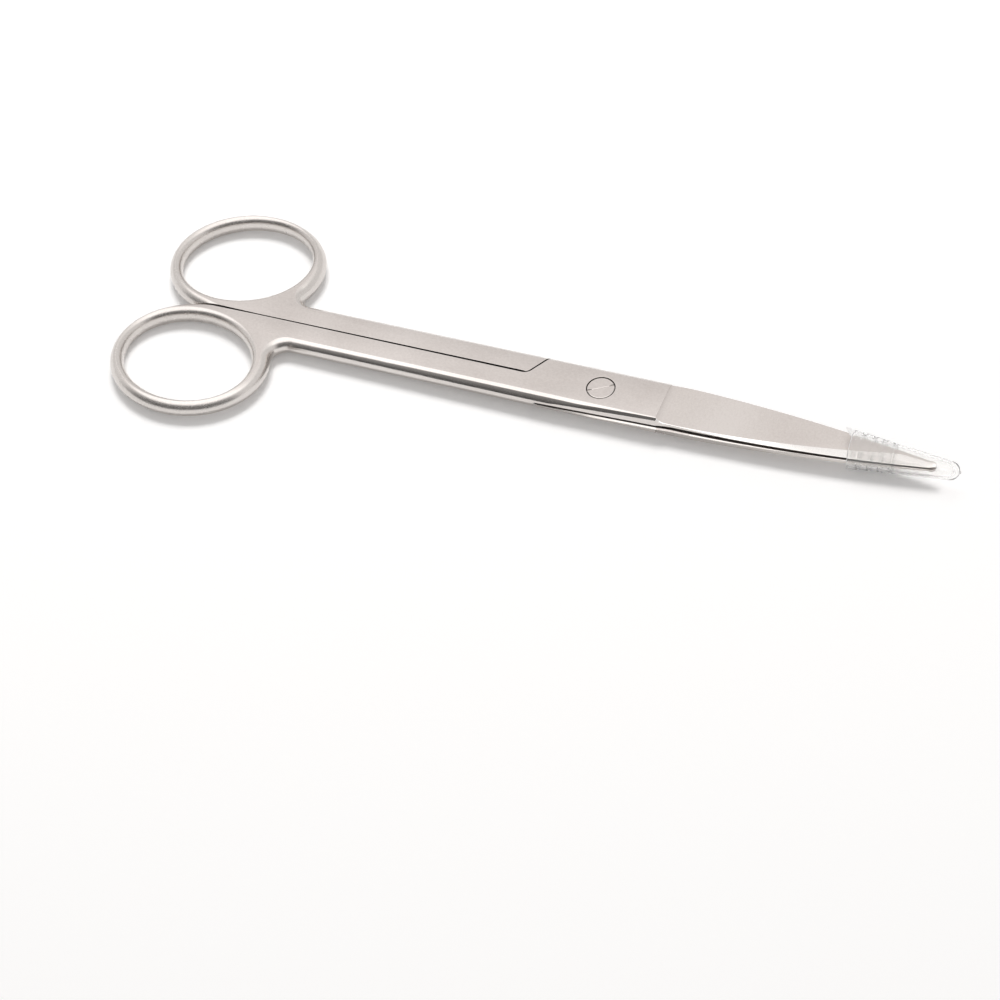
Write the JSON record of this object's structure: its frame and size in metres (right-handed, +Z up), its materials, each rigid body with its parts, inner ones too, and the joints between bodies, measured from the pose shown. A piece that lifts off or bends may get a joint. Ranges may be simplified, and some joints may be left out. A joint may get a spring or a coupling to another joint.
{
  "type": "surgical scissors",
  "caption": "Straight surgical scissors of satin stainless steel, closed, with a slotted pivot screw and a clear guard over the tips.",
  "frame": {"origin": "on the pivot axis, in the plane of the flat underside that the closed scissors lie on", "axes": "+X from the pivot to the tips, +Y towards the lower half's finger ring, +Z up, out of the screw's head"},
  "size_m": [0.1477, 0.0486, 0.0064],
  "materials": {
    "satin_steel": "satin",
    "screw_steel": "satin",
    "clear_plastic": "gloss"
  },
  "bodies": {
    "lower": {"lower_half": "satin_steel", "pivot_screw": "screw_steel"},
    "upper": {"upper_half": "satin_steel"},
    "guard": {"tip_guard": "clear_plastic"}
  },
  "joints": [
    {"name": "blade_hinge", "type": "hinge", "parent": "lower", "child": "upper", "pos_m": [0, 0, 0], "axis": [0, 0, 1], "range_deg": [0, 40]},
    {"name": "guard_slide", "type": "slide", "parent": "lower", "child": "guard", "axis": [0.9928, 0.12, 0], "range_m": [0, 0.168]}
  ],
  "couplings": [
    {"joint": "guard_slide", "follows": "blade_hinge", "m_per_rad": 0.24}
  ]
}
